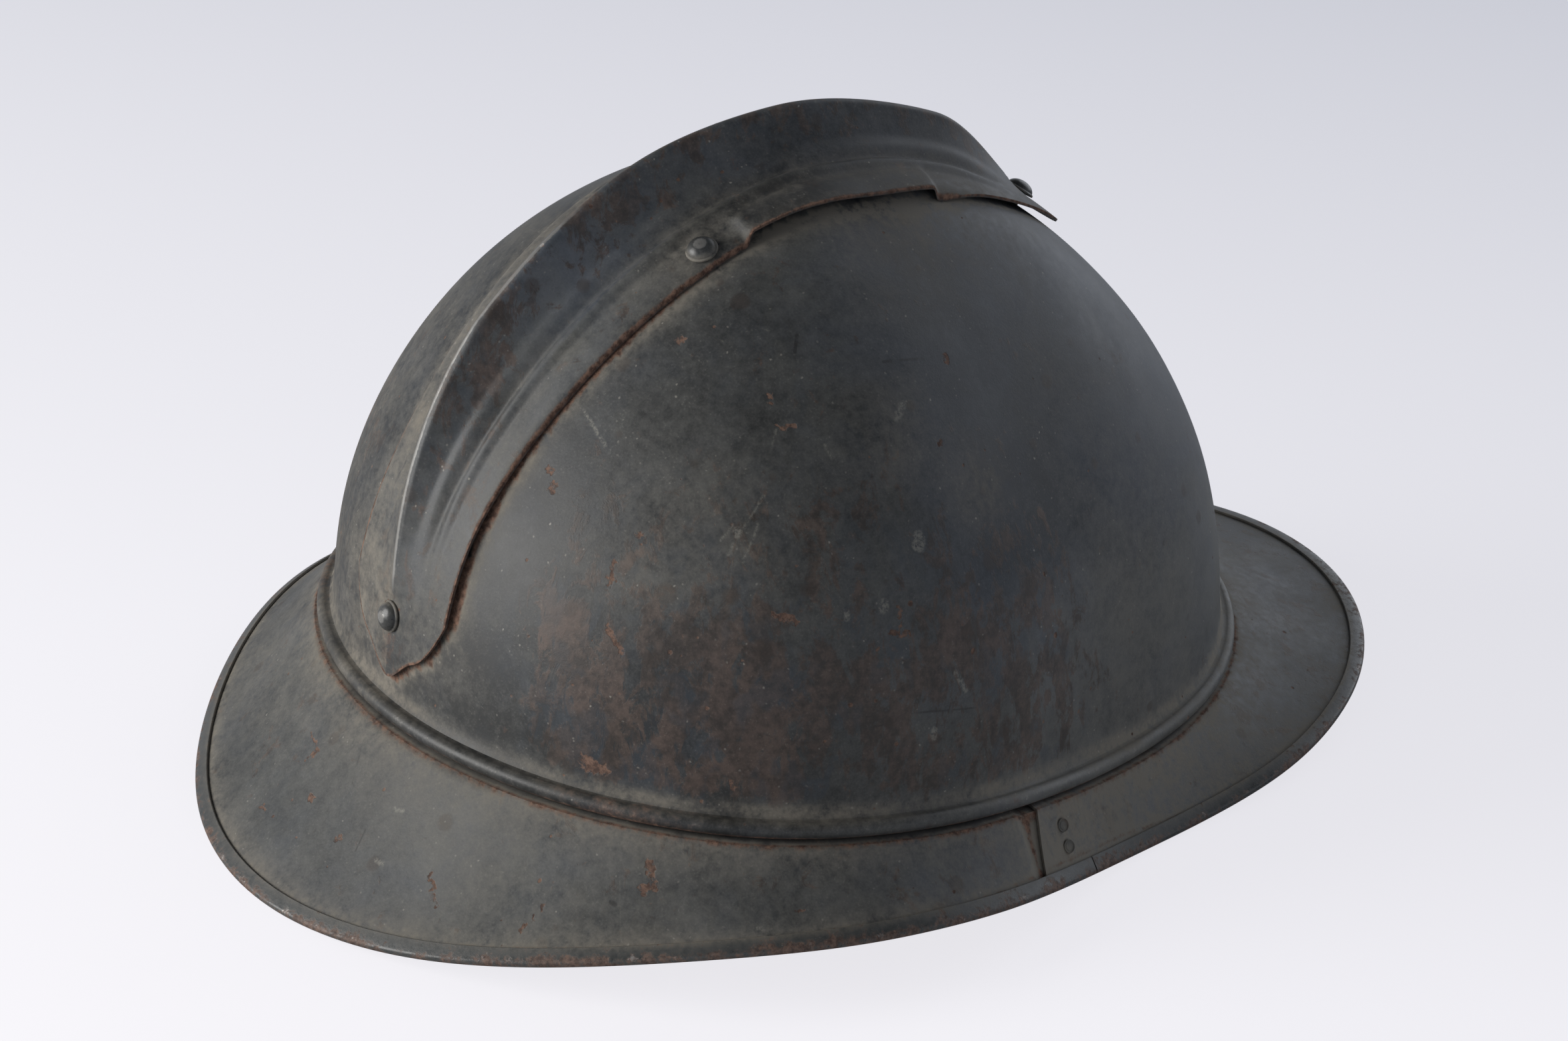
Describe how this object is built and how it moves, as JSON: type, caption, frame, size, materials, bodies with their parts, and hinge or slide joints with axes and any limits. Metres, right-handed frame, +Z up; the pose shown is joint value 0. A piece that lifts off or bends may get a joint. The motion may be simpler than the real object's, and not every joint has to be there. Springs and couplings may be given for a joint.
{
  "type": "military helmet",
  "caption": "Pressed steel crested helmet with a front visor, neck guard and bound edge, leather liner on corrugated spacers, and a chin strap on swinging wire loops.",
  "frame": {"origin": "on the table the rim rests on, under the middle of the bounding box", "axes": "-Y is the front (visor), +Y the rear (neck guard), +X the wearer's left, -X the wearer's right, +Z up"},
  "size_m": [0.2173, 0.2893, 0.1527],
  "materials": {
    "shell_paint": "matt grey blue paint with fine chips and rust",
    "worn_steel": "worn dull steel with rusty spots",
    "wire_steel": "dull bare steel",
    "spacer_alloy": "dull",
    "liner_leather": "aged brown",
    "strap_leather": "aged dark brown",
    "grey_felt": "felted wool",
    "linen_lace": "twisted linen"
  },
  "bodies": {
    "helmet": {"bowl": "shell_paint", "neck_guard": "shell_paint", "front_visor": "shell_paint", "edge_strip": "worn_steel", "crest": "shell_paint", "crest_rivets": "shell_paint", "seam_rivets": "worn_steel", "strap_bracket_left": "shell_paint", "strap_bracket_right": "shell_paint", "chin_strap": "strap_leather", "spacer_front": "spacer_alloy", "spacer_back": "spacer_alloy", "spacer_left": "spacer_alloy", "spacer_right": "spacer_alloy", "felt_band": "grey_felt", "liner_band": "liner_leather", "liner_clips": "wire_steel", "liner_lace": "linen_lace", "liner_tongue_1": "liner_leather", "liner_tongue_2": "liner_leather", "liner_tongue_3": "liner_leather", "liner_tongue_4": "liner_leather", "liner_tongue_5": "liner_leather", "liner_tongue_6": "liner_leather", "liner_tongue_7": "liner_leather"},
    "loop_left": {"strap_loop_left": "wire_steel", "strap_fold_left": "strap_leather"},
    "loop_right": {"strap_loop_right": "wire_steel", "strap_fold_right": "strap_leather"},
    "slider": {"strap_slider": "wire_steel"}
  },
  "joints": [
    {"name": "loop_right_swing", "type": "hinge", "parent": "helmet", "child": "loop_right", "pos_m": [-0.08301, -0.00298, 0.01463], "axis": [-0.3424, 0.9396, 0], "range_deg": [-45, 80]},
    {"name": "loop_left_swing", "type": "hinge", "parent": "helmet", "child": "loop_left", "pos_m": [0.08301, -0.00298, 0.01463], "axis": [-0.3424, -0.9396, 0], "range_deg": [-45, 80]},
    {"name": "slider_slide", "type": "slide", "parent": "helmet", "child": "slider", "axis": [0, -1, 0], "range_m": [0, 0.04]}
  ]
}
